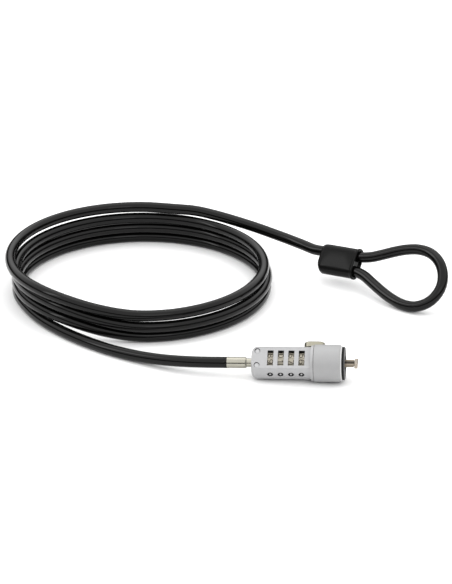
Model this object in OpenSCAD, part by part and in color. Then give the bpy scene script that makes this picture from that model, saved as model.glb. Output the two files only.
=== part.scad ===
// Combination cable lock: a lock head with four number dials, a swivelling cable and a crimped loop.
// The head is modelled on its own axis: +Z towards the nose, +Y out of the window face, +X to the button.
// Everything is in millimetres.

/* [Cable] */
// Outer diameter of the cable
cable_d = 6; // [5:0.1:6.2]
// Diameter of the steel core
core_d = 4; // [3:0.1:4.4]
// Rise of the coil from one turn to the next
turn_rise = 6.5; // [6.45:0.05:7.5]

/* [Swivel] */
// Diameter of the ferrule that grips the cable
ferrule_d = 5.9; // [5.6:0.1:7]
// Length of the ferrule
ferrule_len = 10.3; // [9:0.1:14]
// Depth of the core in the ferrule
core_depth = 8.5; // [5:0.1:9]
// Diameter of the neck
neck_d = 4.6; // [3.6:0.1:4.9]
// Length of the neck between ferrule and housing
neck_len = 2.7; // [1.5:0.1:5]
// Diameter of the shank inside the housing
shank_d = 7.2; // [6.6:0.1:8]
// Diameter of the groove in the shank
groove_d = 5; // [4.2:0.1:5.1]
// Diameter of the two retaining pins
pin_d = 2.8; // [2.2:0.1:2.9]
// Distance of the pins from the rear end
pin_z = 3.1; // [2.8:0.1:3.3]
// Length of the swivel bore
swivel_bore_len = 5.2; // [5.1:0.1:5.4]

/* [Housing] */
// Diameter of the housing
body_d = 16.7; // [16.4:0.1:17.2]
// Length of the housing up to its flange
body_len = 30.9; // [30.7:0.1:31.1]
// Radius of the rounded rear edge
body_round = 3; // [1.5:0.1:4]
// Height of the window face above the axis
face_h = 6.1; // [6:0.05:6.3]
// Diameter of the bore for the dials
bore_d = 11.1; // [11:0.05:11.2]
// Start of the dial bore
bore_z = 6.2; // [6.2:0.1:6.4]
// Diameter of the flange
flange_d = 18.4; // [18:0.1:18.8]
// Width of the flange
flange_w = 1.4; // [0.8:0.1:1.8]
// Diameter of the spigot under the collar
spigot_d = 15.2; // [14.6:0.1:15.6]

/* [Dials] */
// Number of dials
dial_count = 4; // [4:1:4]
// Centre of the first dial
first_dial_z = 10; // [10:0.05:10.1]
// Distance between dials
dial_pitch = 5.4; // [5.38:0.01:5.42]
// Width of a dial
dial_w = 4.6; // [4:0.05:4.65]
// Gap between a dial and the bore, on the radius
dial_gap = 0.15; // [0.05:0.01:0.2]
// Number of digits and grooves on a dial
digits = 10; // [8:1:12]
// Radius of the grooves between the digits
groove_r = 0.45; // [0.3:0.05:0.6]
// Depth of the grooves
groove_depth = 0.32; // [0.16:0.02:0.4]
// Outer diameter of the code rings
ring_d = 7.8; // [7.4:0.1:8]
// Inner diameter of the code rings beside their web
ring_inner_d = 6.4; // [6.3:0.05:6.6]
// Thickness of the notched web
web_t = 0.6; // [0.4:0.05:0.65]
// Thickness of the spacers between the dials
spacer_t = 0.6; // [0.4:0.05:0.65]
// Thickness of the bush in front of the dials
bush_t = 1.8; // [1.2:0.1:2.4]

/* [Windows] */
// Width of a window
window_w = 3.1; // [2.4:0.1:3.6]
// Length of a window
window_len = 8.5; // [7:0.1:9]

/* [Detents] */
// Angle of the detents from the window face
detent_angle = 72; // [72:36:72]
// Diameter of the detent plugs
plug_d = 2.4; // [2:0.1:2.8]
// Diameter of the post in the middle of a plug
post_d = 1; // [0.6:0.1:1.4]
// Diameter of the detent balls
ball_d = 1.1; // [0.9:0.05:1.15]

/* [Spindle] */
// Diameter of the spindle
spindle_d = 2.4; // [2:0.05:2.5]
// Travel of the spindle
spindle_travel = 1.4; // [1.38:0.01:1.42]
// Thickness of its fins
fin_t = 0.6; // [0.4:0.05:0.62]
// Reach of its fins from the axis
fin_r = 2.8; // [2.4:0.05:2.85]

/* [Lock button] */
// Length of the button
button_len = 10.9; // [10.4:0.1:11]
// Width of the button
button_w = 6; // [5.8:0.1:6.2]
// Height of the button's top above the axis
button_top = 11.3; // [11.25:0.05:11.5]
// Travel of the button
button_travel = 1.6; // [1.58:0.01:1.62]

/* [Collar and nose] */
// Diameter of the collar
collar_d = 19.3; // [19:0.1:19.8]
// Length of the collar
collar_len = 14.6; // [13.6:0.1:17]
// Thickness of the collar's front wall
collar_front = 2; // [1.4:0.1:2.6]
// Diameter of the rubber washer
washer_d = 17.2; // [16:0.1:17.8]
// Thickness of the rubber washer
washer_t = 1.4; // [1.2:0.1:2.4]
// Diameter of the hole in the washer
washer_hole_d = 7.9; // [7.8:0.1:9]
// Height of the nose above the washer
nose_len = 6.6; // [5.6:0.1:8]

/* [T-bar] */
// Diameter of the shaft
shaft_d = 2.4; // [2.2:0.05:2.7]
// Length of the cross head
head_len = 6.6; // [6.3:0.1:6.8]
// Width of the cross head
head_w = 2.6; // [2.2:0.05:2.8]
// Thickness of the cross head
head_t = 1.7; // [1.2:0.05:2]
// Diameter of the two fixed guide pins
guide_d = 1.9; // [1.5:0.05:2]

/* [Crimp sleeve] */
// Length of the sleeve
sleeve_len = 23; // [20:0.5:26]
// Thickness of the sleeve
sleeve_t = 8.8; // [8.4:0.1:9.4]
// Distance between its two bores
sleeve_pitch = 8.6; // [8.4:0.1:8.8]

/* [Hidden] */
$fn = 64;

// Clearances, and the depth by which one cut or joined form reaches into the next
run_gap = 0.06;
fit_gap = 0.05;
end_gap = 0.1;
side_gap = 0.2;
strand_fit = 0.3;
overlap = 0.1;

// Radii that several pieces share
cable_r = cable_d / 2;
body_r = body_d / 2;
flange_r = flange_d / 2;
spigot_r = spigot_d / 2;
bore_r = bore_d / 2;
seat_r = bore_r - fit_gap;
dial_r = bore_r - dial_gap;
collar_r = collar_d / 2;
hole_r = washer_hole_d / 2;
spindle_r = spindle_d / 2;

// Stations along the head's axis
ferrule_z = -neck_len - ferrule_len;
dial_z = [for (k = [0:dial_count - 1]) first_dial_z + k * dial_pitch];
bulkhead_z1 = dial_z[0] - dial_w / 2 - end_gap;
bush_z0 = dial_z[dial_count - 1] + dial_w / 2 + end_gap;
bush_z1 = bush_z0 + bush_t;
collar_z0 = body_len + flange_w;
collar_z1 = collar_z0 + collar_len;
washer_z1 = collar_z1 + washer_t;
nose_z1 = washer_z1 + nose_len;
collar_edge = 0.3;

// Spindle
fin_z = web_t / 2 + end_gap;
fin_w = 1;
boss_room = 0.4;
boss_z1 = dial_z[0] - web_t / 2 - fin_t - end_gap - boss_room;
spindle_room = 0.3;
spindle_rear_z = bulkhead_z1 + spindle_room;
spring_room = 2.5;
thrust_z = bush_z1 + spring_room;
thrust_r = 1.8;
thrust_t = 0.6;
tip_base_z = thrust_z + thrust_t;
tip_r = 1;
tip_len = 1.6;
tip_end_r = 0.15;
tip_z = tip_base_z + tip_len;

// Lock button: its stem goes through the spigot, and a lip holds it in
stem_room = 0.15;
stem_z0 = tip_base_z + stem_room;
cap_behind = 1.5;
button_mid_z = stem_z0 - cap_behind;
stem_w = 3.55;
stem_z1 = stem_z0 + stem_w;
stem_low = -0.6;
stem_half_w = 2.2;
stem_neck_half_w = 1.4;
stem_top = spigot_r - 0.7;
wedge_slope = spindle_travel / button_travel;
wedge_z = tip_z + side_gap;
wedge_top = (wedge_z - stem_z0) / wedge_slope;
recess_wall = 1.05;
recess_floor = bore_r + recess_wall;
cap_low = recess_floor + button_travel + end_gap;
lip_half_w = stem_half_w + 0.7;
lip_t = 0.8;
lip_high = sqrt(bore_r * bore_r - lip_half_w * lip_half_w) - 0.3;

// Crank of the T-bar: the pin swings a quarter turn while the button travels
crank_r = button_travel / sqrt(2);
crank_at = button_travel / 2;
crank_pin_r = 0.42;
crank_pin_len = 1.1;
crank_disc_r = crank_r + crank_pin_r + 0.25;
crank_t = 1;
crank_z0 = stem_z1 + side_gap;
crank_z1 = crank_z0 + crank_t;
spigot_z1 = crank_z1;
block_z0 = crank_z1 + end_gap;
block_z1 = collar_z1 - collar_front - fit_gap;

// Nose: the shaft runs between two guide pins
guide_r = guide_d / 2;
shaft_r = shaft_d / 2;
guide_at = shaft_r + side_gap + guide_r;
guide_gap = 0.3;
boss_drop = 1;
head_z0 = nose_z1 - head_t;

// Detents, measured outwards from the axis
ride_gap = 0.05;
ball_at = dial_r + ride_gap + ball_d / 2;
ball_hole_r = ball_d / 2 + fit_gap;
plug_low = body_r - 1.15;
plug_shoulder = body_r - 0.85;
plug_high = body_r - 0.3;
plug_hole_r = plug_d / 2 + fit_gap;

// Crimp sleeve
sleeve_bore_r = cable_r + strand_fit;
sleeve_r = sleeve_t / 2;

// Pose of the head: it lies on the rounded rear edge and on the collar's rear edge
head_roll = 40;
rest_dz = collar_z0 + collar_edge - body_round;
rest_dr = (collar_r - collar_edge) - (body_r - body_round);
head_tilt = atan2(rest_dr, rest_dz) + asin((collar_edge - body_round) / norm([rest_dr, rest_dz]));
head_height = body_round + (body_r - body_round) * cos(head_tilt) - body_round * sin(head_tilt);
button_reach = button_top * cos(head_roll) + button_w / 2 * sin(head_roll);
head_pos = [-(nose_z1 + ferrule_z) / 2 * cos(head_tilt), -(button_reach - collar_r) / 2, head_height];

module at_head() {
    translate(head_pos)
        rotate([0, -head_tilt, 0])
            rotate([head_roll, 0, 0])
                rotate([90, 0, 90])
                    children();
}

// Point on the head's axis, in the part's frame
function on_axis(z) = head_pos + z * [cos(head_tilt), 0, sin(head_tilt)];

// ---------------------------------------------------------------- cable route
// Lead: from the ferrule down to the surface and round to the left end of the coil
lead_rest = [[-43, -0.4, 7.2], [-53, 0.8, 6.4], [-63, 3.3, 5.3], [-74, 7, 4.2], [-85, 11.5, 3.4],
             [-97, 17.2, 3], [-108, 23.6, 3], [-118, 30.5, 3], [-128, 38.6, 3], [-137, 47.2, 3],
             [-144.6, 56.3, 3]];
// Coil: from the left end round the back, clockwise from above
coil_from = -145;
coil_to = -1360;
rings_per_turn = 24;
turn_x = [[0, -93.5], [1, -93], [2, -94], [3, -96]];
turn_y = [[0, 104], [1, 101.6], [2, 101.2], [3, 100.6]];
turn_r = [[0, 69], [1, 69.2], [2, 68.6], [3, 69.4]];
climb_from = -75;
climb_to = -130;
// Tail: off the top of the coil and across to the sleeve
tail_rest = [[-71, 168, 22.2], [-59, 164.6, 21.3], [-47, 160.2, 20.1], [-35, 155.2, 18.8],
             [-24, 149.9, 17.5], [-14.5, 144.8, 16.5], [-7, 140, 15.9]];
// Eye: in the plane of the loop, from the rear of one bore round to the rear of the other
sleeve_pos = [15, 124.5, 13.5];
sleeve_turn = [48, -4, -26];
eye_plane = [[18, 5.4], [25, 8.1], [32, 11.1], [39, 13.4], [46, 14.4], [53.5, 13.2], [60, 9],
             [64.5, 2], [65.5, -6], [62, -13.6], [55, -18], [47, -18.4], [38, -15.9], [30, -12.3],
             [23, -8.6], [17.5, -5.8]];

function smooth(t) = let (s = min(1, max(0, t))) s * s * (3 - 2 * s);
// Turns climbed so far at an angle of the coil
function climbed(a) = smooth((climb_from - 360 - a) / (climb_from - climb_to))
    + smooth((climb_from - 720 - a) / (climb_from - climb_to))
    + smooth((climb_from - 1080 - a) / (climb_from - climb_to));
function coil_point(a) = let (s = climbed(a))
    [lookup(s, turn_x) + lookup(s, turn_r) * cos(a),
     lookup(s, turn_y) + lookup(s, turn_r) * sin(a),
     cable_r + turn_rise * s];
coil_steps = ceil((coil_from - coil_to) / 360 * rings_per_turn);
coil_route = [for (i = [0:coil_steps]) coil_point(coil_from + (coil_to - coil_from) * i / coil_steps)];
coil_end = coil_route[coil_steps];

function turned(p, a) = let (
        x1 = [p[0], p[1] * cos(a[0]) - p[2] * sin(a[0]), p[1] * sin(a[0]) + p[2] * cos(a[0])],
        y1 = [x1[0] * cos(a[1]) + x1[2] * sin(a[1]), x1[1], -x1[0] * sin(a[1]) + x1[2] * cos(a[1])])
    [y1[0] * cos(a[2]) - y1[1] * sin(a[2]), y1[0] * sin(a[2]) + y1[1] * cos(a[2]), y1[2]];
function in_sleeve(u, v) = sleeve_pos + turned([u, v, 0], sleeve_turn);

bore_v = sleeve_pitch / 2;
half_sleeve = sleeve_len / 2;
lead_route = concat([on_axis(ferrule_z), on_axis(ferrule_z - cable_d)], lead_rest, [coil_route[0]]);
tail_route = concat([coil_end], tail_rest,
    [in_sleeve(-half_sleeve - cable_d, bore_v), in_sleeve(-half_sleeve, bore_v)]);
eye_route = concat(
    [for (u = [-half_sleeve, -half_sleeve + cable_d, half_sleeve]) in_sleeve(u, bore_v)],
    [for (p = eye_plane) in_sleeve(p[0], p[1])],
    [for (u = [half_sleeve, -half_sleeve + cable_d + 1, -half_sleeve + 1]) in_sleeve(u, -bore_v)]);

function unit(v) = v / norm(v);
function heading(p, i) = unit(p[min(i + 1, len(p) - 1)] - p[max(i - 1, 0)]);
function ring(c, t, r, n, up) = let (s = unit(cross(up, t)), w = cross(t, s))
    [for (k = [0:n - 1]) c + r * (cos(90 + k * 360 / n) * s + sin(90 + k * 360 / n) * w)];

// Closed tube along a list of points: the first and last headings can be given
module tube(p, r, n, up = [0, 0, 1], t0 = undef, t1 = undef) {
    last = len(p) - 1;
    points = [for (i = [0:last])
        let (t = i == 0 && t0 != undef ? t0 : i == last && t1 != undef ? t1 : heading(p, i))
            each ring(p[i], t, r, n, up)];
    sides = [for (i = [0:last - 1], k = [0:n - 1]) let (a = i * n + k, b = i * n + (k + 1) % n)
        each [[a, a + n, b], [b, a + n, b + n]]];
    caps = [for (k = [1:n - 2]) each [[0, k, k + 1], [last * n, last * n + k + 1, last * n + k]]];
    polyhedron(points, concat(sides, caps));
}

function route_length(p) = let (d = [for (i = [1:len(p) - 1]) norm(p[i] - p[i - 1])])
    d * [for (x = d) 1];
coil_gap = min([for (i = [0:coil_steps], j = [i + 12:coil_steps])
    norm(coil_route[i] - coil_route[j])]) - cable_d;
echo(coil_least_gap = coil_gap);
echo(cable_length = route_length(concat(lead_route, coil_route, tail_route, eye_route)));

coil_t0 = unit([sin(coil_from), -cos(coil_from), 0]);
coil_t1 = unit([sin(coil_to), -cos(coil_to), 0]);
lead_t0 = -[cos(head_tilt), 0, sin(head_tilt)];
tail_t1 = turned([1, 0, 0], sleeve_turn);

module cable_lead() {
    color("#1b1b1d") tube(lead_route, cable_r, 10, t0 = lead_t0, t1 = coil_t0);
}

module cable_coil() {
    color("#1b1b1d") tube(coil_route, cable_r, 6, t0 = coil_t0, t1 = coil_t1);
}

module cable_tail() {
    color("#1b1b1d") tube(tail_route, cable_r, 10, t0 = coil_t1, t1 = tail_t1);
}

module cable_eye() {
    color("#1b1b1d") tube(eye_route, cable_r, 10, up = turned([0, 0, 1], sleeve_turn));
}

module cable_core() {
    color("#9a9a9c") at_head() translate([0, 0, ferrule_z]) cylinder(d = core_d, h = core_depth);
}

// Oval sleeve over both strands: an even body, a rounded rear shoulder and a rim at the mouth
module crimp_sleeve() {
    shoulder = 2.5;
    shoulder_in = 0.8;
    rim = 0.35;
    rim_w = 1.6;
    slice = 0.1;
    module oval(u, w, grow, shift = 0) {
        hull() {
            for (v = [-bore_v + shift, bore_v])
                translate([u, v, 0]) rotate([0, 90, 0]) cylinder(r = sleeve_r + grow, h = w, $fn = 32);
        }
    }
    color("#1f1f21") translate(sleeve_pos) rotate(sleeve_turn) difference() {
        union() {
            oval(-half_sleeve + shoulder, sleeve_len - shoulder, 0);
            hull() {
                oval(-half_sleeve + shoulder, slice, 0);
                oval(-half_sleeve, slice, -shoulder_in, 2 * shoulder_in);
            }
            oval(half_sleeve - rim_w, rim_w, rim);
        }
        for (v = [-bore_v, bore_v])
            translate([-half_sleeve - 1, v, 0]) rotate([0, 90, 0])
                cylinder(r = sleeve_bore_r, h = sleeve_len + 2);
    }
}

// ---------------------------------------------------------------- swivel
// Ferrule crimped on the cable, with a neck and a grooved shank that turns in the housing
module swivel_ferrule() {
    nose_round = 0.8;
    lip = 0.1;
    barrel_r = ferrule_d / 2;
    shank_r = shank_d / 2;
    groove_half = pin_d / 2 + 2 * end_gap;
    hole = core_d / 2 + fit_gap;
    color("#d8d6cf") at_head() rotate_extrude() polygon([
        [hole, ferrule_z], [barrel_r + lip, ferrule_z], [barrel_r + lip, ferrule_z + nose_round],
        [barrel_r, ferrule_z + nose_round], [barrel_r, -neck_len - nose_round],
        [barrel_r - nose_round / 2, -neck_len], [neck_d / 2, -neck_len], [neck_d / 2, end_gap],
        [shank_r, end_gap], [shank_r, pin_z - groove_half], [groove_d / 2, pin_z - groove_half],
        [groove_d / 2, pin_z + groove_half], [shank_r, pin_z + groove_half],
        [shank_r, swivel_bore_len - end_gap], [0, swivel_bore_len - end_gap],
        [0, ferrule_z + core_depth + end_gap], [hole, ferrule_z + core_depth + end_gap]]);
}

pin_x = groove_d / 2 + run_gap + pin_d / 2;
pin_high = face_h - 0.45;
pin_low = -3;

module pin_holes() {
    for (x = [-pin_x, pin_x])
        translate([x, body_r, pin_z]) rotate([90, 0, 0])
            cylinder(r = pin_d / 2 + fit_gap, h = body_r - pin_low + end_gap);
}

// Two pins across the housing hold the shank by its groove
module swivel_pins() {
    dome = 0.25;
    color("#cfcfd1") at_head()
        for (x = [-pin_x, pin_x])
            translate([x, pin_high, pin_z]) rotate([90, 0, 0]) {
                cylinder(r1 = pin_d / 2 - dome, r2 = pin_d / 2, h = dome);
                translate([0, 0, dome]) cylinder(d = pin_d, h = pin_high - pin_low - dome);
            }
}

// ---------------------------------------------------------------- housing
// Places a radial feature at the detent of each dial, pointing outwards along +Z
module at_detents() {
    for (z = dial_z)
        translate([0, 0, z]) rotate([0, 0, 90 + detent_angle]) rotate([0, 90, 0]) children();
}

// Button outline seen from outside, from one height above the axis to another
module button_pill(low, high, grow = 0) {
    r = button_w / 2 + grow;
    at = (button_len - button_w) / 2;
    translate([low, 0, button_mid_z]) {
        for (z = [-at, at])
            translate([0, 0, z]) rotate([0, 90, 0]) cylinder(r = r, h = high - low);
        translate([0, -r, -at]) cube([high - low, 2 * r, 2 * at]);
    }
}

module housing() {
    countersink = 0.4;
    window_low = 0.6 * bore_r;
    plug_cut = 3;
    color("#b9babd") at_head() difference() {
        union() {
            rotate_extrude($fn = 96) {
                square([body_r - body_round, body_len]);
                translate([0, body_round]) square([body_r, body_len - body_round]);
                translate([body_r - body_round, body_round]) intersection() {
                    circle(body_round);
                    translate([0, -body_round]) square([body_round, 2 * body_round]);
                }
            }
            translate([0, 0, body_len]) cylinder(r = flange_r, h = flange_w, $fn = 96);
            translate([0, 0, body_len]) cylinder(r = spigot_r, h = spigot_z1 - body_len);
        }
        translate([-body_r, face_h, -1]) cube([body_d, body_r, body_len + 1]);
        translate([0, 0, bore_z]) cylinder(r = bore_r, h = spigot_z1);
        translate([0, 0, -1]) cylinder(r = shank_d / 2 + run_gap, h = swivel_bore_len + 1);
        pin_holes();
        for (z = dial_z)
            translate([-window_len / 2, window_low, z - window_w / 2])
                cube([window_len, body_r, window_w]);
        at_detents() {
            translate([0, 0, plug_low]) cylinder(r = plug_hole_r, h = plug_cut);
            translate([0, 0, dial_r - ball_d / 2]) cylinder(r = ball_hole_r, h = plug_cut);
            translate([0, 0, body_r - countersink])
                cylinder(r1 = plug_hole_r, r2 = plug_hole_r + 1.5 * countersink, h = 1.5 * countersink);
        }
        button_pill(recess_floor, collar_r + 1, end_gap);
        translate([bore_r / 2, -stem_half_w - end_gap, stem_z0 - end_gap])
            cube([recess_floor, 2 * (stem_half_w + end_gap), stem_z1 - stem_z0 + 2 * end_gap]);
    }
}

// Plate behind the dials: its boss carries the rear end of the spindle
module rear_bulkhead() {
    boss_r = ring_inner_d / 2 - side_gap;
    color("#c2a265") at_head() difference() {
        union() {
            translate([0, 0, bore_z]) cylinder(r = seat_r, h = bulkhead_z1 - bore_z);
            translate([0, 0, bore_z]) cylinder(r = boss_r, h = boss_z1 - bore_z);
        }
        translate([0, 0, bore_z - 1]) cylinder(r = spindle_r + run_gap, h = boss_z1);
    }
}

// ---------------------------------------------------------------- dials
// Number dial: a ring with ten finger grooves, which the detent balls also drop into
module dial(k) {
    color("#c9b892") at_head() translate([0, 0, dial_z[k] - dial_w / 2]) difference() {
        cylinder(r = dial_r, h = dial_w, $fn = 96);
        translate([0, 0, -1]) cylinder(r = ring_d / 2 + fit_gap, h = dial_w + 2);
        for (i = [0:digits - 1])
            rotate([0, 0, 90 + i * 360 / digits])
                translate([dial_r - groove_depth + groove_r, 0, -1])
                    cylinder(r = groove_r, h = dial_w + 2, $fn = 24);
    }
}

module dial_1() { dial(0); }
module dial_2() { dial(1); }
module dial_3() { dial(2); }
module dial_4() { dial(3); }

// Code ring: a hollow ring with a thin web, whose notch lets one fin of the spindle through
module code_ring(k) {
    ring_w = dial_w - 0.6;
    color("#b0894a") at_head() translate([0, 0, dial_z[k]]) difference() {
        translate([0, 0, -ring_w / 2]) cylinder(d = ring_d, h = ring_w);
        for (side = [0, 1])
            mirror([0, 0, side]) translate([0, 0, web_t / 2]) cylinder(d = ring_inner_d, h = ring_w);
        translate([0, 0, -ring_w]) cylinder(r = spindle_r + 0.15, h = 2 * ring_w);
        translate([-fin_w / 2 - end_gap, 0, -web_t])
            cube([fin_w + 2 * end_gap, fin_r + end_gap, 2 * web_t]);
    }
}

module code_ring_1() { code_ring(0); }
module code_ring_2() { code_ring(1); }
module code_ring_3() { code_ring(2); }
module code_ring_4() { code_ring(3); }

module dial_spacers() {
    color("#b0894a") at_head()
        for (k = [0:dial_count - 2])
            translate([0, 0, dial_z[k] + dial_pitch / 2 - spacer_t / 2]) difference() {
                cylinder(r = seat_r, h = spacer_t);
                translate([0, 0, -1]) cylinder(r = spindle_r + 0.8, h = spacer_t + 2);
            }
}

module front_bush() {
    color("#c2a265") at_head() translate([0, 0, bush_z0]) difference() {
        cylinder(r = seat_r, h = bush_z1 - bush_z0);
        translate([0, 0, -1]) cylinder(r = spindle_r + run_gap, h = bush_z1 - bush_z0 + 2);
    }
}

// ---------------------------------------------------------------- detents
module detent_plugs() {
    color("#a9a9ab") at_head() at_detents()
        union() {
            translate([0, 0, plug_low]) cylinder(d = plug_d, h = plug_shoulder - plug_low);
            translate([0, 0, plug_low]) cylinder(d = post_d, h = plug_high - plug_low, $fn = 32);
        }
}

module detent_balls() {
    color("#d8d8da") at_head() at_detents() translate([0, 0, ball_at]) sphere(d = ball_d, $fn = 24);
}

// Helix of round wire along +Z, from z = 0 up to its height
module wire_spring(mean_r, wire_r, height, turns, rings = 8) {
    steps = turns * rings;
    rise = (height - 2 * wire_r) / steps;
    route = [for (i = [0:steps]) [mean_r * cos(i * 360 / rings), mean_r * sin(i * 360 / rings),
        wire_r + i * rise]];
    tube(route, wire_r, 6);
}

module detent_springs() {
    gap = 0.05;
    low = ball_at + ball_d / 2 + gap;
    color("#8f8f91") at_head() at_detents()
        translate([0, 0, low]) wire_spring(0.35, 0.08, plug_low - gap - low, 2);
}

// ---------------------------------------------------------------- spindle
// Spindle with one fin in front of each code ring: the fins pass the notches when the code is set
module spindle() {
    color("#b8b8ba") at_head() {
        translate([0, 0, spindle_rear_z]) cylinder(r = spindle_r, h = thrust_z - spindle_rear_z + overlap);
        translate([0, 0, thrust_z]) cylinder(r = thrust_r, h = thrust_t);
        translate([0, 0, tip_base_z]) cylinder(r = tip_r, h = tip_len - tip_r + tip_end_r);
        translate([0, 0, tip_z - tip_r + tip_end_r])
            cylinder(r1 = tip_r, r2 = tip_end_r, h = tip_r - tip_end_r);
        for (z = dial_z)
            translate([-fin_w / 2, 0, z + fin_z]) cube([fin_w, fin_r, fin_t]);
    }
}

module spindle_spring() {
    wire_r = 0.15;
    color("#8f8f91") at_head() translate([0, 0, bush_z1 + fit_gap])
        wire_spring(spindle_r + 0.35, wire_r, thrust_z - bush_z1 - 2 * fit_gap, 4);
}

// ---------------------------------------------------------------- lock button
// Cap in the housing's recess, stem with a wedge that pushes the spindle back, and a crank slot
module lock_button() {
    crown = 0.4;
    color("#cbc7b6") at_head() difference() {
        union() {
            button_pill(cap_low, button_top - crown);
            hull() {
                button_pill(button_top - crown - 0.1, button_top - crown, $fn = 32);
                button_pill(button_top - 0.1, button_top, -crown, $fn = 32);
            }
            rotate([90, 0, 0]) translate([0, 0, -stem_half_w]) linear_extrude(2 * stem_half_w)
                polygon([[stem_low, wedge_z], [0, wedge_z], [wedge_top, stem_z0],
                         [stem_top, stem_z0], [stem_top, stem_z1], [stem_low, stem_z1]]);
            translate([stem_top - overlap, -stem_neck_half_w, stem_z0])
                cube([cap_low - stem_top + 2 * overlap, 2 * stem_neck_half_w, stem_w]);
            translate([lip_high - lip_t, -lip_half_w, stem_z0]) cube([lip_t, 2 * lip_half_w, stem_w]);
        }
        translate([crank_at - crank_pin_r - run_gap, side_gap, stem_z1 - crank_pin_len - side_gap])
            cube([2 * (crank_pin_r + run_gap), crank_r + crank_pin_r, 2 * crank_pin_len]);
    }
}

// Return spring of the button, between its stem and the far side of the bore
module button_spring() {
    wire_r = 0.15;
    mean_r = 1.1;
    low = -sqrt(bore_r * bore_r - pow(mean_r + wire_r, 2)) + fit_gap;
    color("#8f8f91") at_head() translate([low, 0, stem_z1 - mean_r - 2 * wire_r]) rotate([0, 90, 0])
        wire_spring(mean_r, wire_r, stem_low - fit_gap - low, 5);
}

// ---------------------------------------------------------------- nose
// T-bar: crank, shaft and cross head. At rest the head lies in line with the guide pins
module t_bar() {
    edge = 0.3;
    color("#c4b3a2") at_head() {
        translate([0, 0, crank_z0]) cylinder(r = crank_disc_r, h = crank_z1 - crank_z0);
        translate([crank_at, crank_at, stem_z1 - crank_pin_len])
            cylinder(r = crank_pin_r, h = crank_z0 - stem_z1 + crank_pin_len + overlap, $fn = 32);
        translate([0, 0, crank_z1 - overlap]) cylinder(r = shaft_r, h = head_z0 - crank_z1 + 2 * overlap);
        translate([0, 0, head_z0]) rotate([0, 0, -head_roll]) {
            hull() {
                translate([-head_len / 2, -head_w / 2, 0]) cube([head_len, head_w, head_t - edge]);
                translate([-head_len / 2 + edge, -head_w / 2 + edge, 0])
                    cube([head_len - 2 * edge, head_w - 2 * edge, head_t]);
            }
        }
    }
}

// Block behind the collar's front wall: it carries the T-bar's shaft and two fixed guide pins
module nose_block() {
    color("#8d857c") at_head() difference() {
        union() {
            translate([0, 0, block_z0]) cylinder(r = spigot_r, h = block_z1 - block_z0);
            translate([0, 0, block_z1 - overlap])
                cylinder(r = hole_r - end_gap, h = washer_z1 - boss_drop - block_z1 + overlap);
            for (side = [-1, 1])
                rotate([0, 0, -head_roll]) translate([side * guide_at, 0, block_z1 - overlap])
                    cylinder(r = guide_r, h = head_z0 - guide_gap - block_z1 + overlap, $fn = 32);
        }
        translate([0, 0, block_z0 - 1]) cylinder(r = shaft_r + run_gap, h = washer_z1);
    }
}

// Collar over the spigot, open at the rear for the button and closed by a front wall
module front_collar() {
    chamfer_z = 1.2;
    chamfer_r = 0.7;
    inner_r = spigot_r + fit_gap;
    color("#c3c4c6") at_head() difference() {
        rotate_extrude($fn = 96) translate([0, collar_z0]) polygon([
            [inner_r, 0], [collar_r - collar_edge, 0], [collar_r, collar_edge],
            [collar_r, collar_len - chamfer_z], [collar_r - chamfer_r, collar_len],
            [hole_r, collar_len], [hole_r, collar_len - collar_front],
            [inner_r, collar_len - collar_front]]);
        button_pill(recess_floor, collar_r + 1, end_gap);
    }
}

// Rubber washer that rests on the laptop
module face_washer() {
    edge = 0.3;
    r = washer_d / 2;
    color("#3b3b3d") at_head() rotate_extrude($fn = 96) translate([0, collar_z1]) polygon([
        [hole_r, 0], [r, 0], [r, washer_t - edge], [r - edge, washer_t], [hole_r, washer_t]]);
}

cable_lead();
cable_coil();
cable_tail();
cable_eye();
cable_core();
crimp_sleeve();
swivel_ferrule();
swivel_pins();
housing();
rear_bulkhead();
dial_1();
dial_2();
dial_3();
dial_4();
code_ring_1();
code_ring_2();
code_ring_3();
code_ring_4();
dial_spacers();
front_bush();
detent_plugs();
detent_springs();
detent_balls();
spindle();
spindle_spring();
lock_button();
button_spring();
t_bar();
nose_block();
front_collar();
face_washer();
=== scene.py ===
import math

import bpy
import numpy as np
from mathutils import Matrix, Vector


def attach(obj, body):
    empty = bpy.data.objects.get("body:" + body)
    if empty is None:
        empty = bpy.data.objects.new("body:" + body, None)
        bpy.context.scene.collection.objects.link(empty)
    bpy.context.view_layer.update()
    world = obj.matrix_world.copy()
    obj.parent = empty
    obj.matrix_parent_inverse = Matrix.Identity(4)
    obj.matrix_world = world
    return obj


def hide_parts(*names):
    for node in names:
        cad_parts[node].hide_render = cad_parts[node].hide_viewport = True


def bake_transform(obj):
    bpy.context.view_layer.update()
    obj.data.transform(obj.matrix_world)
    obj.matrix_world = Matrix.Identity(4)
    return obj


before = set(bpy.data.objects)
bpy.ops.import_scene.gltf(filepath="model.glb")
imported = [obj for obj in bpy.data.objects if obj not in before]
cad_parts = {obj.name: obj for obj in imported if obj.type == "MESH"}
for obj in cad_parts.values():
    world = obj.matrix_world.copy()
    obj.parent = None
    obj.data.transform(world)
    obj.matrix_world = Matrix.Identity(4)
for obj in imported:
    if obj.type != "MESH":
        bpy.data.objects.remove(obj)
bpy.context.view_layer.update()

# ---------------------------------------------------------------- camera
# A long lens looks down at the lock from a little to the right of the lock head.
camera_at = Vector((0.1085, -1.2558, 0.6101))
camera_aim = Vector((-0.04663, 0.10566, 0.0))
camera_data = bpy.data.cameras.new("camera")
camera_data.lens = 166.4
camera_data.sensor_width = 36.0
camera_data.clip_end = 50.0
camera = bpy.data.objects.new("camera", camera_data)
camera.location = camera_at
camera.rotation_euler = (camera_aim - camera_at).to_track_quat("-Z", "Y").to_euler()
bpy.context.scene.collection.objects.link(camera)
bpy.context.scene.camera = camera

# ---------------------------------------------------------------- cable jacket
# One length of steel cable in glossy black vinyl. It leaves the ferrule, drops to the surface,
# lies in a loose coil and ends in an eye whose two strands the crimp sleeve holds.

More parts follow.
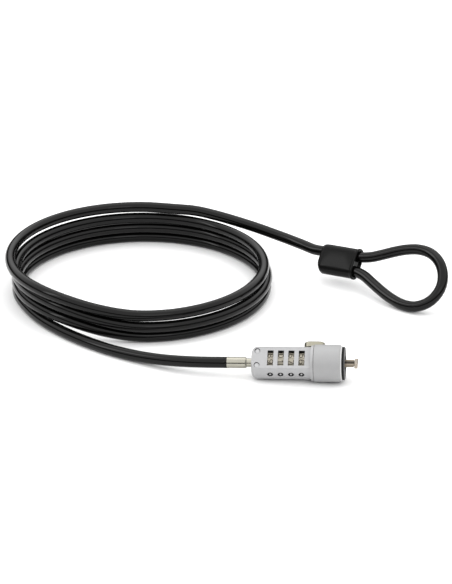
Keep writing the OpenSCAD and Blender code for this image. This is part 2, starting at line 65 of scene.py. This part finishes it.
# CABLE_R and RING_SPACING are in metres, and all lengths after them in millimetres.
MM = 0.001
CABLE_R = 0.003
CABLE_SIDES = 24
RING_SPACING = 0.0025
CURVE_STEPS = 24

# The coil's angles are in degrees. It rises by TURN_RISE within CLIMB_SPAN degrees of each turn.
COIL_START = -145
COIL_STOP = -1360
CLIMB_FROM = -75
CLIMB_SPAN = 55
FIRST_TURN_Z = 3.0
TURN_RISE = 6.5

# The head's own axes are X to the button, Y out of the windows and Z forward to the nose.
HEAD_AT = np.array([-20.9299, -0.46733, 8.2135])
HEAD_TILT = math.radians(2.50974)
HEAD_ROLL = math.radians(40.0)
PIN_X = 3.96
PIN_Z = 3.1
CABLE_EXIT_Z = -13.0
CABLE_STRAIGHT = 6.0
SLEEVE_AT = np.array([15.0, 124.5, 13.5])
SLEEVE_TURN = np.radians([48.0, -4.0, -26.0])


def turn_matrix(angles):
    """Turns about X, then Y, then Z, as one matrix."""
    (cx, cy, cz), (sx, sy, sz) = np.cos(angles), np.sin(angles)
    about_x = np.array([[1, 0, 0], [0, cx, -sx], [0, sx, cx]])
    about_y = np.array([[cy, 0, sy], [0, 1, 0], [-sy, 0, cy]])
    about_z = np.array([[cz, -sz, 0], [sz, cz, 0], [0, 0, 1]])
    return about_z @ about_y @ about_x


head_axes = turn_matrix([0, -HEAD_TILT, 0]) @ turn_matrix([HEAD_ROLL, 0, 0]) @ turn_matrix(
    [math.pi / 2, 0, math.pi / 2])
sleeve_axes = turn_matrix(SLEEVE_TURN)


def on_head(points):
    """Bench points of the lock head, in millimetres, to metres in the frame."""
    return (np.asarray(points, float) @ head_axes.T + HEAD_AT) * MM


def on_sleeve(points):
    """Points of the crimp sleeve's own axes, in millimetres, to metres in the frame."""
    return (np.asarray(points, float) @ sleeve_axes.T + SLEEVE_AT) * MM


def coil_points(start, stop, per_turn=24):
    """The coil, in metres: its angle runs round, in degrees, and at the front of each turn it climbs."""
    steps = math.ceil((start - stop) / 360 * per_turn)
    angle = np.linspace(start, stop, steps + 1)

    def climb(after):
        s = np.clip((CLIMB_FROM - after - angle) / CLIMB_SPAN, 0, 1)
        return s * s * (3 - 2 * s)

    turn = climb(360) + climb(720) + climb(1080)
    knots = [0, 1, 2, 3]
    radius = np.interp(turn, knots, [69, 69.2, 68.6, 69.4])
    x = np.interp(turn, knots, [-93.5, -93, -94, -96]) + radius * np.cos(np.radians(angle))
    y = np.interp(turn, knots, [104, 101.6, 101.2, 100.6]) + radius * np.sin(np.radians(angle))
    return np.stack([x, y, FIRST_TURN_Z + TURN_RISE * turn], axis=1) * MM


def smooth_path(points, spacing):
    """A centripetal Catmull-Rom curve through the points, at even steps along it."""
    p = np.vstack([2 * points[0] - points[1], points, 2 * points[-1] - points[-2]])
    knot = np.concatenate([[0], np.cumsum(np.sqrt(np.linalg.norm(np.diff(p, axis=0), axis=1)))])
    s = np.linspace(0, 1, CURVE_STEPS, endpoint=False)[None, :, None]
    a, b, c, d = p[:-3, None], p[1:-2, None], p[2:-1, None], p[3:, None]
    ka, kb, kc, kd = (knot[i:len(p) - 3 + i, None, None] for i in range(4))
    t = kb + (kc - kb) * s
    ab = ((kb - t) * a + (t - ka) * b) / (kb - ka)
    bc = ((kc - t) * b + (t - kb) * c) / (kc - kb)
    cd = ((kd - t) * c + (t - kc) * d) / (kd - kc)
    abc = ((kc - t) * ab + (t - ka) * bc) / (kc - ka)
    bcd = ((kd - t) * bc + (t - kb) * cd) / (kd - kb)
    fine = ((kc - t) * abc + (t - kb) * bcd) / (kc - kb)
    fine = np.vstack([fine.reshape(-1, 3), points[-1]])
    along = np.concatenate([[0], np.cumsum(np.linalg.norm(np.diff(fine, axis=0), axis=1))])
    even = np.linspace(0, along[-1], int(along[-1] / spacing) + 1)
    return np.stack([np.interp(even, along, fine[:, i]) for i in range(3)], axis=1)


def tube_grid(path, radius, sides):
    """Rings round a path. Each ring's first direction is carried along without twisting."""
    heading = np.gradient(path, axis=0)
    heading /= np.linalg.norm(heading, axis=1)[:, None]
    across = np.zeros_like(path)
    side = np.cross(heading[0], [0.0, 0.0, 1.0])
    for i in range(len(path)):
        side = side - heading[i] * np.dot(side, heading[i])
        side /= np.linalg.norm(side)
        across[i] = side
    up = np.cross(heading, across)
    angle = np.linspace(0, 2 * math.pi, sides, endpoint=False)
    radius = np.broadcast_to(radius, len(path))[:, None, None]
    ring = np.cos(angle)[None, :, None] * across[:, None] + np.sin(angle)[None, :, None] * up[:, None]
    return path[:, None] + radius * ring


def grid_mesh(name, grid, shade_smooth=True):
    """A closed tube from a grid of rings: quads between the rings and one face over each end."""
    rings, sides = grid.shape[:2]
    at = np.arange(rings * sides).reshape(rings, sides)
    right = np.roll(at, -1, axis=1)
    quads = np.stack([at[:-1], right[:-1], right[1:], at[1:]], axis=-1).reshape(-1, 4).tolist()
    ends = [at[0][::-1].tolist(), at[-1].tolist()]
    mesh = bpy.data.meshes.new(name)
    mesh.from_pydata(grid.reshape(-1, 3).tolist(), [], quads + ends)
    mesh.validate()
    mesh.polygons.foreach_set("use_smooth", [shade_smooth] * len(quads) + [False] * len(ends))
    obj = bpy.data.objects.new(name, mesh)
    bpy.context.scene.collection.objects.link(obj)
    return obj


def new_group(name, inputs, outputs):
    """An empty shader node group with named inputs (name, default) and outputs."""
    group = bpy.data.node_groups.new(name, "ShaderNodeTree")
    for label, default in inputs:
        socket = group.interface.new_socket(label, in_out="INPUT", socket_type="NodeSocketFloat")
        socket.default_value = default
    for label in outputs:
        group.interface.new_socket(label, in_out="OUTPUT", socket_type="NodeSocketFloat")
    source = group.nodes.new("NodeGroupInput")
    sink = group.nodes.new("NodeGroupOutput")
    return group, source, sink


def mixed_noise():
    """Handling marks and fine grain: two sizes of noise in object space, added by weight."""
    group, source, sink = new_group(
        "marks_and_grain",
        [("Mark Size", 60.0), ("Grain Size", 900.0), ("Grain Share", 0.3)], ["Tone", "Grain"])
    where = group.nodes.new("ShaderNodeTexCoord")
    marks = group.nodes.new("ShaderNodeTexNoise")
    grain = group.nodes.new("ShaderNodeTexNoise")
    marks.inputs["Detail"].default_value = 3.0
    grain.inputs["Detail"].default_value = 2.0
    blend = group.nodes.new("ShaderNodeMix")
    link = group.links.new
    link(where.outputs["Object"], marks.inputs["Vector"])
    link(where.outputs["Object"], grain.inputs["Vector"])
    link(source.outputs["Mark Size"], marks.inputs["Scale"])
    link(source.outputs["Grain Size"], grain.inputs["Scale"])
    link(source.outputs["Grain Share"], blend.inputs["Factor"])
    link(marks.outputs["Fac"], blend.inputs["A"])
    link(grain.outputs["Fac"], blend.inputs["B"])
    link(blend.outputs["Result"], sink.inputs["Tone"])
    link(grain.outputs["Fac"], sink.inputs["Grain"])
    return group


marks_and_grain = mixed_noise()


def finish_material(name, dark, light, rough=(0.3, 0.4), metallic=0.0, mark_size=60.0,
                    grain_size=900.0, grain_share=0.3, bump=0.05, bump_depth=0.00002, specular=None):
    """A finish whose colour and roughness wander between two values with marks and grain."""
    material = bpy.data.materials.new(name)
    material.use_nodes = True
    nodes, link = material.node_tree.nodes, material.node_tree.links.new
    shader = nodes["Principled BSDF"]
    noise = nodes.new("ShaderNodeGroup")
    noise.node_tree = marks_and_grain
    noise.inputs["Mark Size"].default_value = mark_size
    noise.inputs["Grain Size"].default_value = grain_size
    noise.inputs["Grain Share"].default_value = grain_share
    tint = nodes.new("ShaderNodeMix")
    tint.data_type = "RGBA"
    tint.inputs["A"].default_value = (*dark, 1)
    tint.inputs["B"].default_value = (*light, 1)
    spread = nodes.new("ShaderNodeMapRange")
    spread.inputs["From Min"].default_value = 0.3
    spread.inputs["From Max"].default_value = 0.7
    spread.inputs["To Min"].default_value = rough[0]
    spread.inputs["To Max"].default_value = rough[1]
    relief = nodes.new("ShaderNodeBump")
    relief.inputs["Strength"].default_value = bump
    relief.inputs["Distance"].default_value = bump_depth
    link(noise.outputs["Tone"], tint.inputs["Factor"])
    link(noise.outputs["Tone"], spread.inputs["Value"])
    link(noise.outputs["Grain"], relief.inputs["Height"])
    link(tint.outputs["Result"], shader.inputs["Base Color"])
    link(spread.outputs["Result"], shader.inputs["Roughness"])
    link(relief.outputs["Normal"], shader.inputs["Normal"])
    shader.inputs["Metallic"].default_value = metallic
    if specular is not None:
        shader.inputs["Specular IOR Level"].default_value = specular
    return material


def head_places():
    """Places on the lock head in its own millimetres: reach from its axis and from the nearer
    retaining pin's, height and distance along."""
    group, source, sink = new_group("head_places", [], ["Reach", "Pin Reach", "Height", "Along"])
    where = group.nodes.new("ShaderNodeTexCoord")
    lay = group.nodes.new("ShaderNodeMapping")
    lay.vector_type = "TEXTURE"
    lay.inputs["Location"].default_value = HEAD_AT * MM
    lay.inputs["Rotation"].default_value = Matrix(head_axes.tolist()).to_euler("XYZ")
    lay.inputs["Scale"].default_value = (MM, MM, MM)
    split = group.nodes.new("ShaderNodeSeparateXYZ")
    flat = group.nodes.new("ShaderNodeCombineXYZ")
    reach = group.nodes.new("ShaderNodeVectorMath")
    reach.operation = "LENGTH"
    aside = group.nodes.new("ShaderNodeMath")
    aside.operation = "ABSOLUTE"
    pin_flat = group.nodes.new("ShaderNodeCombineXYZ")
    pin_reach = group.nodes.new("ShaderNodeVectorMath")
    pin_reach.operation = "DISTANCE"
    pin_reach.inputs[1].default_value = (PIN_X, PIN_Z, 0.0)
    link = group.links.new
    link(where.outputs["Object"], lay.inputs["Vector"])
    link(lay.outputs["Vector"], split.inputs["Vector"])
    link(split.outputs["X"], flat.inputs["X"])
    link(split.outputs["Y"], flat.inputs["Y"])
    link(flat.outputs["Vector"], reach.inputs[0])
    link(reach.outputs["Value"], sink.inputs["Reach"])
    link(split.outputs["X"], aside.inputs[0])
    link(aside.outputs["Value"], pin_flat.inputs["X"])
    link(split.outputs["Z"], pin_flat.inputs["Y"])
    link(pin_flat.outputs["Vector"], pin_reach.inputs[0])
    link(pin_reach.outputs["Value"], sink.inputs["Pin Reach"])
    link(split.outputs["Y"], sink.inputs["Height"])
    link(split.outputs["Z"], sink.inputs["Along"])
    return group


head_place = head_places()
FROM_AXIS = -1.0


def recolour(material, colour, *limits):
    """Gives the part of a finish inside every limit (place, low, high, in millimetres) a second colour.

    A lower limit of FROM_AXIS keeps everything from the axis outwards."""
    nodes, link = material.node_tree.nodes, material.node_tree.links.new
    shader = nodes["Principled BSDF"]
    before = shader.inputs["Base Color"].links[0].from_socket
    place = nodes.new("ShaderNodeGroup")
    place.node_tree = head_place
    inside = None
    for axis, low, high in limits:
        for bound, test in ((low, "GREATER_THAN"), (high, "LESS_THAN")):
            step = nodes.new("ShaderNodeMath")
            step.operation = test
            step.inputs[1].default_value = bound
            link(place.outputs[axis], step.inputs[0])
            if inside is not None:
                both = nodes.new("ShaderNodeMath")
                both.operation = "MULTIPLY"
                link(inside, both.inputs[0])
                link(step.outputs["Value"], both.inputs[1])
                inside = both.outputs["Value"]
            else:
                inside = step.outputs["Value"]
    mixed = nodes.new("ShaderNodeMix")
    mixed.data_type = "RGBA"
    mixed.inputs["B"].default_value = (*colour, 1)
    link(inside, mixed.inputs["Factor"])
    link(before, mixed.inputs["A"])
    link(mixed.outputs["Result"], shader.inputs["Base Color"])


def wear(obj, material):
    """Puts a material on a piece, in every slot of its mesh."""
    obj.data.materials.clear()
    obj.data.materials.append(material)
    obj.data.polygons.foreach_set("material_index", [0] * len(obj.data.polygons))


def dress(node, material):
    """Gives a CAD node its finish, in its object's material slot."""
    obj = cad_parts[node]
    if not obj.material_slots:
        obj.data.materials.append(material)
    for place in obj.material_slots:
        place.link = "OBJECT"
        place.material = material


# The route: down from the ferrule to the coil, from the coil up to the sleeve, and round the eye.
lead = np.array([
    [-43, -0.4, 7.2], [-53, 0.8, 6.4], [-63, 3.3, 5.3], [-74, 7, 4.2], [-85, 11.5, 3.4], [-97, 17.2, 3],
    [-108, 23.6, 3], [-118, 30.5, 3], [-128, 38.6, 3], [-137, 47.2, 3], [-144.6, 56.3, 3]]) * MM
tail = np.array([
    [-71, 168, 22.2], [-59, 164.6, 21.3], [-47, 160.2, 20.1], [-35, 155.2, 18.8], [-24, 149.9, 17.5],
    [-14.5, 144.8, 16.5], [-7, 140, 15.9]]) * MM
eye = np.array([
    [-17.5, 4.3], [-11.5, 4.3], [-5.5, 4.3], [0, 4.3], [6, 4.3], [11.5, 4.3],
    [18, 5.4], [25, 8.1], [32, 11.1], [39, 13.4], [46, 14.4], [53.5, 13.2], [60, 9], [64.5, 2],
    [65.5, -6], [62, -13.6], [55, -18], [47, -18.4], [38, -15.9], [30, -12.3], [23, -8.6], [17.5, -5.8],
    [11.5, -4.3], [6, -4.3], [0, -4.3], [-4.5, -4.3], [-10.5, -4.3]])
eye = on_sleeve(np.column_stack([eye, np.zeros(len(eye))]))
cable_exit = on_head([[0, 0, CABLE_EXIT_Z], [0, 0, CABLE_EXIT_Z - CABLE_STRAIGHT]])
coil_route = coil_points(COIL_START, COIL_STOP)
cable_path = smooth_path(np.vstack([cable_exit, lead, coil_route, tail, eye]), RING_SPACING)

vinyl = finish_material(
    "black_vinyl", (0.0012, 0.0012, 0.0011), (0.003, 0.0029, 0.0028), rough=(0.06, 0.1), mark_size=40.0,
    grain_size=1500.0, grain_share=0.2, bump=0.08, specular=0.2)
jacket = grid_mesh("cable_jacket", tube_grid(cable_path, CABLE_R, CABLE_SIDES))
wear(jacket, vinyl)
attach(jacket, "cable")
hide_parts("cable_lead", "cable_coil", "cable_tail", "cable_eye")

# ---------------------------------------------------------------- crimp sleeve
# A hard black sleeve, pressed over both strands where the cable turns back on itself.
# Its end towards the coil is rounded, and a small rim stands round its end at the eye.
STRAND_V = 4.3
SLEEVE_SIDES = 48


def oval_ring(u, radius, shift, sides):
    """Points round two half circles joined by straight sides, at a place along the sleeve."""
    angle = np.linspace(0, 2 * math.pi, sides, endpoint=False)
    v = radius * np.cos(angle) + np.where(np.cos(angle) >= 0, STRAND_V, -STRAND_V + shift)
    return np.stack([np.full(sides, u), v, radius * np.sin(angle)], axis=1)


# Each row is a place along the sleeve, the radius there and the shift of the free strand's half.
sleeve_profile = [
    (-11.5, 3.35, 2.4), (-11.42, 3.6, 2.2), (-11.0, 3.95, 1.7), (-10.3, 4.2, 1.0), (-9.4, 4.34, 0.4),
    (-8.4, 4.4, 0.0), (-4.0, 4.4, 0.0), (4.0, 4.4, 0.0), (9.5, 4.4, 0.0), (10.0, 4.46, 0.0),
    (10.25, 4.62, 0.0), (10.5, 4.73, 0.0), (11.2, 4.73, 0.0), (11.42, 4.65, 0.0), (11.5, 4.5, 0.0),
    (11.5, 3.8, 0.0), (11.3, 3.4, 0.0), (10.5, 3.25, 0.0)]
sleeve_grid = np.array([oval_ring(u, r, shift, SLEEVE_SIDES) for u, r, shift in sleeve_profile])
sleeve = grid_mesh("sleeve_shell", on_sleeve(sleeve_grid))
satin_black = finish_material(
    "satin_black", (0.004, 0.004, 0.0039), (0.008, 0.008, 0.0077), rough=(0.12, 0.17), mark_size=120.0,
    grain_size=2500.0, bump=0.12, specular=0.08)
wear(sleeve, satin_black)
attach(sleeve, "cable")
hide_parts("crimp_sleeve")

# ---------------------------------------------------------------- swivel
# A bright plated ferrule, crimped on the cable. Its shank turns between two steel pins.
bright_plate = finish_material(
    "bright_plate", (0.29, 0.28, 0.237), (0.37, 0.357, 0.308), rough=(0.09, 0.15), metallic=1.0,
    mark_size=300.0, grain_size=3000.0)
steel = finish_material(
    "turned_steel", (0.5, 0.5, 0.51), (0.62, 0.62, 0.63), rough=(0.24, 0.34), metallic=1.0,
    mark_size=300.0, grain_size=3500.0)
dress("swivel_ferrule", bright_plate)
dress("cable_core", steel)
pin_steel = finish_material(
    "pin_steel", (0.4, 0.4, 0.404), (0.49, 0.49, 0.494), rough=(0.3, 0.4), metallic=0.5,
    mark_size=300.0, grain_size=3500.0)
# The dark colour painted as shade in bores, holes and gaps.
painted_shade_dark = (0.012, 0.012, 0.013)
# Painted shade: a thin ring at the edge of each pin head is coloured dark, for the gap round it.
recolour(pin_steel, painted_shade_dark, ("Pin Reach", 1.24, 1.5))
dress("swivel_pins", pin_steel)

# ---------------------------------------------------------------- housing
# A die-cast body in silver-grey paint with a fine sparkle, flattened on its window face.
# The bores, the pin holes and the walls of the windows are painted dark as shade.
grey_paint = finish_material(
    "silver_grey_paint", (0.325, 0.325, 0.329), (0.428, 0.428, 0.433), rough=(0.42, 0.55), metallic=0.3,
    mark_size=500.0, grain_size=6000.0, grain_share=0.65, bump=0.3, bump_depth=0.00003)
# Painted shade: the pin holes, the bores and the window walls are coloured dark.
recolour(grey_paint, painted_shade_dark, ("Pin Reach", FROM_AXIS, 1.46), ("Height", 5.0, 6.3))
recolour(grey_paint, painted_shade_dark, ("Reach", FROM_AXIS, 8.2), ("Height", -9.0, 5.95), ("Along", 6.5, 60.0))
recolour(grey_paint, painted_shade_dark, ("Reach", FROM_AXIS, 7.3), ("Height", -9.0, 5.95), ("Along", 0.8, 6.6))
dress("housing", grey_paint)

# ---------------------------------------------------------------- detents
# Under each plug in the row of drillings, a spring holds a ball against a dial.
plug_steel = finish_material(
    "plug_steel", (0.41, 0.41, 0.415), (0.52, 0.52, 0.525), rough=(0.3, 0.4), metallic=0.5,
    mark_size=300.0, grain_size=3500.0)
# Painted shade: the lower part of each plug, down in its drilling, is coloured dark.
recolour(plug_steel, (0.012, 0.012, 0.012), ("Reach", FROM_AXIS, 7.7))
dress("detent_plugs", plug_steel)
for node in ("detent_springs", "detent_balls"):
    dress(node, steel)

# ---------------------------------------------------------------- dials
# Nickel-plated brass dials on raw brass code rings. Their digits are of dark brown ink, which
# stands a hair above the dial.
nickel_brass = finish_material(
    "nickel_brass", (0.31, 0.285, 0.225), (0.42, 0.385, 0.315), rough=(0.42, 0.52), metallic=0.3,
    mark_size=500.0, grain_size=4000.0)
raw_brass = finish_material(
    "raw_brass", (0.5, 0.36, 0.14), (0.66, 0.5, 0.22), rough=(0.3, 0.42), metallic=1.0,
    mark_size=400.0, grain_size=4000.0)
for k in (1, 2, 3, 4):
    dress(f"dial_{k}", nickel_brass)
    dress(f"code_ring_{k}", raw_brass)
for node in ("dial_spacers", "front_bush", "rear_bulkhead"):
    dress(node, raw_brass)

DIAL_R = 5.4
FIRST_DIAL_Z = 10.0
DIAL_PITCH = 5.4
WINDOW_ANGLE = 90
DIGIT_STEP = 36
GLYPH_HIGH = 1.6
DIGIT_HIGH = 2.65
DIGIT_WIDE = 2.1
STROKE = 0.45
INK_PROUD = 0.02
INK_DEEP = -0.06
BEND_SPACING = 0.12
LINE_STEPS = 9
OVAL_STEPS = 33


def bend(*points):
    """A smooth stroke through the points, in digit units: 1 wide and 1.6 high."""
    flat = np.column_stack([np.array(points, float), np.zeros(len(points))])
    return smooth_path(flat, BEND_SPACING)[:, :2]


def line(*points):
    """A straight stroke or one with corners, with points close enough to be wrapped round the dial."""
    p = np.array(points, float)
    parts = [a + (b - a) * np.linspace(0, 1, LINE_STEPS)[:, None] for a, b in zip(p[:-1], p[1:])]
    return np.vstack(parts[:1] + [part[1:] for part in parts[1:]])


def oval(x, y, wide, high):
    """A closed round stroke."""
    angle = np.linspace(0, 2 * math.pi, OVAL_STEPS)
    return np.stack([x + wide / 2 * np.cos(angle), y + high / 2 * np.sin(angle)], axis=1)


# Each digit is a list of strokes in a box 1 wide and 1.6 high.
strokes = {
    0: [oval(0.5, 0.8, 1.0, 1.6)],
    1: [line((0.15, 1.2), (0.55, 1.6), (0.55, 0.0))],
    2: [bend((0.02, 1.15), (0.14, 1.48), (0.5, 1.6), (0.88, 1.45), (0.96, 1.1), (0.72, 0.72), (0.0, 0.0)),
        line((0.0, 0.0), (1.0, 0.0))],
    3: [bend((0.04, 1.32), (0.22, 1.55), (0.52, 1.6), (0.86, 1.45), (0.88, 1.05), (0.42, 0.85)),
        bend((0.42, 0.85), (0.95, 0.7), (0.98, 0.25), (0.55, 0.0), (0.18, 0.06), (0.0, 0.3))],
    4: [line((0.72, 0.0), (0.72, 1.6), (0.0, 0.45), (1.0, 0.45))],
    5: [line((0.92, 1.6), (0.16, 1.6), (0.08, 0.9)),
        bend((0.08, 0.9), (0.5, 1.05), (0.9, 0.85), (0.97, 0.42), (0.72, 0.06), (0.32, 0.0), (0.0, 0.22))],
    6: [bend((0.85, 1.45), (0.55, 1.6), (0.2, 1.4), (0.03, 0.9), (0.03, 0.5)), oval(0.5, 0.48, 0.94, 0.96)],
    7: [line((0.0, 1.6), (1.0, 1.6), (0.35, 0.0))],
    8: [oval(0.5, 1.2, 0.8, 0.8), oval(0.5, 0.4, 1.0, 0.8)],
    9: [bend((0.15, 0.15), (0.45, 0.0), (0.8, 0.2), (0.97, 0.7), (0.97, 1.1)), oval(0.5, 1.12, 0.94, 0.96)],
}


def digit_rings(path, turn, z):
    """A stroke as a flat bar: its centreline goes round the dial by an angle and along its axis.

    The width is laid off square to the centreline, and the bar stands a hair above the dial."""
    around = (path[:, 0] - 0.5) * DIGIT_WIDE
    along = (path[:, 1] - GLYPH_HIGH / 2) / GLYPH_HIGH * DIGIT_HIGH
    line_mm = np.stack([around, along], axis=1)
    step = np.gradient(line_mm, axis=0)
    step /= np.linalg.norm(step, axis=1)[:, None]
    square = np.stack([-step[:, 1], step[:, 0]], axis=1) * STROKE / 2
    rings = []
    for side, height in ((1, INK_PROUD), (-1, INK_PROUD), (-1, INK_DEEP), (1, INK_DEEP)):
        at = line_mm + side * square
        angle = turn + at[:, 0] / DIAL_R
        r = DIAL_R + height
        rings.append(np.stack([r * np.cos(angle), r * np.sin(angle), z + at[:, 1]], axis=1))
    return np.stack(rings, axis=1)


dial_ink = finish_material(
    "brown_ink", (0.025, 0.018, 0.01), (0.045, 0.034, 0.02), rough=(0.4, 0.55), mark_size=800.0,
    grain_size=6000.0)
# Each window stands over two digits of its dial: the one named here and the next.
shown = (8, 0, 6, 5)
for k, body in enumerate(("first_dial", "second_dial", "third_dial", "fourth_dial")):
    parts = []
    for i in range(10):
        turn = math.radians(WINDOW_ANGLE + DIGIT_STEP * (i - 0.5))
        for path in strokes[(shown[k] + i) % 10]:
            parts.append(digit_rings(path, turn, FIRST_DIAL_Z + DIAL_PITCH * k))
    grids = [grid_mesh("stroke", on_head(part.reshape(-1, 3)).reshape(part.shape), shade_smooth=False)
             for part in parts]
    with bpy.context.temp_override(active_object=grids[0], selected_editable_objects=grids):
        bpy.ops.object.join()
    digits = grids[0]
    digits.name = f"digits_{k + 1}"
    wear(digits, dial_ink)
    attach(digits, body)

# ---------------------------------------------------------------- spindle and return springs
# The steel spindle, and two springs of round wire. One pushes the spindle forward, the other lifts
# the button, and each is squeezed between the head and the piece that it returns.

WIRE_SIDES = 8
# The fixed end and the moving end of each spring, along its own axis.
SPINDLE_SPRING = (30.45, 32.85)
BUTTON_SPRING = (-5.356, -0.651)
BUTTON_SPRING_Z = 35.8


def spring_grid(ends, mean_r, wire_r, turns):
    """A helix of round wire along Z that reaches from one end height to the other, in millimetres."""
    angle = np.linspace(0, 2 * math.pi * turns, turns * 24 + 1)
    rise = np.linspace(ends[0] + wire_r, ends[1] - wire_r, len(angle))
    route = np.stack([mean_r * np.cos(angle), mean_r * np.sin(angle), rise], axis=1)
    return tube_grid(route, wire_r, WIRE_SIDES)


def return_spring(name, grid, node):
    """A spring mesh fixed in the frame, in place of one CAD node, which it hides."""
    spring = grid_mesh(name, on_head(grid))
    wear(spring, steel)
    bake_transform(spring)
    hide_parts(node)


dress("spindle", steel)
coil = spring_grid(SPINDLE_SPRING, mean_r=1.53, wire_r=0.1, turns=3)
return_spring(
    "spindle_return", coil,
    "spindle_spring")
coil = spring_grid(BUTTON_SPRING, mean_r=1.1, wire_r=0.15, turns=5)
coil = np.stack([coil[..., 2], coil[..., 1], BUTTON_SPRING_Z - coil[..., 0]], axis=-1)
return_spring(
    "button_return", coil,
    "button_spring")

# ---------------------------------------------------------------- lock button
# A satin nickel cap that reaches from the housing over the collar.
satin_nickel = finish_material(
    "satin_nickel", (0.27, 0.258, 0.2), (0.333, 0.315, 0.258), rough=(0.3, 0.4), metallic=1.0,
    mark_size=300.0, grain_size=3500.0)
dress("lock_button", satin_nickel)

# ---------------------------------------------------------------- collar
# A turned collar with a satin finish, and a painted highlight on its chamfer at the front.
satin_collar = finish_material(
    "satin_collar", (0.31, 0.31, 0.312), (0.37, 0.37, 0.372), rough=(0.5, 0.57), metallic=0.2,
    mark_size=300.0, grain_size=5000.0, grain_share=0.6, bump=0.2, specular=0.3)
recolour(satin_collar, (0.05, 0.045, 0.04), ("Along", 30.0, 32.55))
# Painted highlight: the front chamfer is coloured light grey.
recolour(satin_collar, (0.6, 0.6, 0.6), ("Along", 46.4, 47.0), ("Reach", 8.7, 10.0))
dress("front_collar", satin_collar)

# ---------------------------------------------------------------- nose
# A black rubber washer, and the cross bar between two fixed guide pins.
washer_rubber = finish_material(
    "washer_rubber", (0.005, 0.005, 0.005), (0.01, 0.01, 0.01), rough=(0.55, 0.7), mark_size=300.0,
    grain_size=4000.0, bump=0.3, specular=0.15)
recolour(washer_rubber, (0.13, 0.13, 0.132), ("Reach", 4.4, 8.5), ("Along", 48.15, 49.0))
nose_steel = finish_material(
    "nose_steel", (0.187, 0.158, 0.122), (0.285, 0.241, 0.186), rough=(0.3, 0.42), metallic=0.7,
    mark_size=400.0, grain_size=4000.0)
recolour(nose_steel, (0.37, 0.325, 0.27), ("Along", 53.4, 55.5))
recolour(nose_steel, (0.04, 0.033, 0.026), ("Reach", FROM_AXIS, 1.3), ("Along", 48.0, 53.3))
dress("face_washer", washer_rubber)
dress("t_bar", nose_steel)
dress("nose_block", nose_steel)

# ---------------------------------------------------------------- floor and lights
# A plain white table under an even white dome, with weak panels for the longer highlights. The dome is
# dark just above the table, which draws the thin dark line along the cable and the plated ferrule.
TABLE_HALF = 3.0
LIGHT_AIM = (-0.05, 0.1, 0.0)
corners = [(x * TABLE_HALF, y * TABLE_HALF, 0) for x, y in ((-1, -1), (1, -1), (1, 1), (-1, 1))]
table_mesh = bpy.data.meshes.new("table_top")
table_mesh.from_pydata(corners, [], [(0, 1, 2, 3)])
table_top = bpy.data.objects.new("table_top", table_mesh)
bpy.context.scene.collection.objects.link(table_top)
table_white = bpy.data.materials.new("table_white")
table_white.use_nodes = True
table_shader = table_white.node_tree.nodes["Principled BSDF"]
table_shader.inputs["Base Color"].default_value = (0.97, 0.97, 0.97, 1)
table_shader.inputs["Roughness"].default_value = 0.9
table_mesh.materials.append(table_white)

world = bpy.data.worlds.new("studio")
world.use_nodes = True
dome = world.node_tree.nodes["Background"]
dome.inputs["Color"].default_value = (1, 1, 1, 1)
sky = world.node_tree.nodes.new("ShaderNodeTexCoord")
heading = world.node_tree.nodes.new("ShaderNodeSeparateXYZ")
fade = world.node_tree.nodes.new("ShaderNodeMapRange")
fade.inputs["From Min"].default_value = 0.2
fade.inputs["From Max"].default_value = 0.45
fade.inputs["To Min"].default_value = 0.02
fade.inputs["To Max"].default_value = 1.7
world.node_tree.links.new(sky.outputs["Generated"], heading.inputs["Vector"])
world.node_tree.links.new(heading.outputs["Z"], fade.inputs["Value"])
world.node_tree.links.new(fade.outputs["Result"], dome.inputs["Strength"])
bpy.context.scene.world = world


def panel(name, at, aim, width, height, power):
    """A soft rectangular light that faces a point."""
    data = bpy.data.lights.new(name, "AREA")
    data.shape = "RECTANGLE"
    data.size, data.size_y = width, height
    data.energy = power
    light = bpy.data.objects.new(name, data)
    light.location = at
    light.rotation_euler = (Vector(aim) - Vector(at)).to_track_quat("-Z", "Y").to_euler()
    bpy.context.scene.collection.objects.link(light)


panel("overhead", (-0.1, 0.5, 1.6), LIGHT_AIM, width=1.2, height=0.8, power=3)
panel("left", (-1.5, -0.4, 1.1), LIGHT_AIM, width=0.3, height=1.0, power=3)
panel("front", (0.7, -1.6, 1.3), LIGHT_AIM, width=0.8, height=0.8, power=2)
bpy.context.scene.view_settings.view_transform = "Standard"
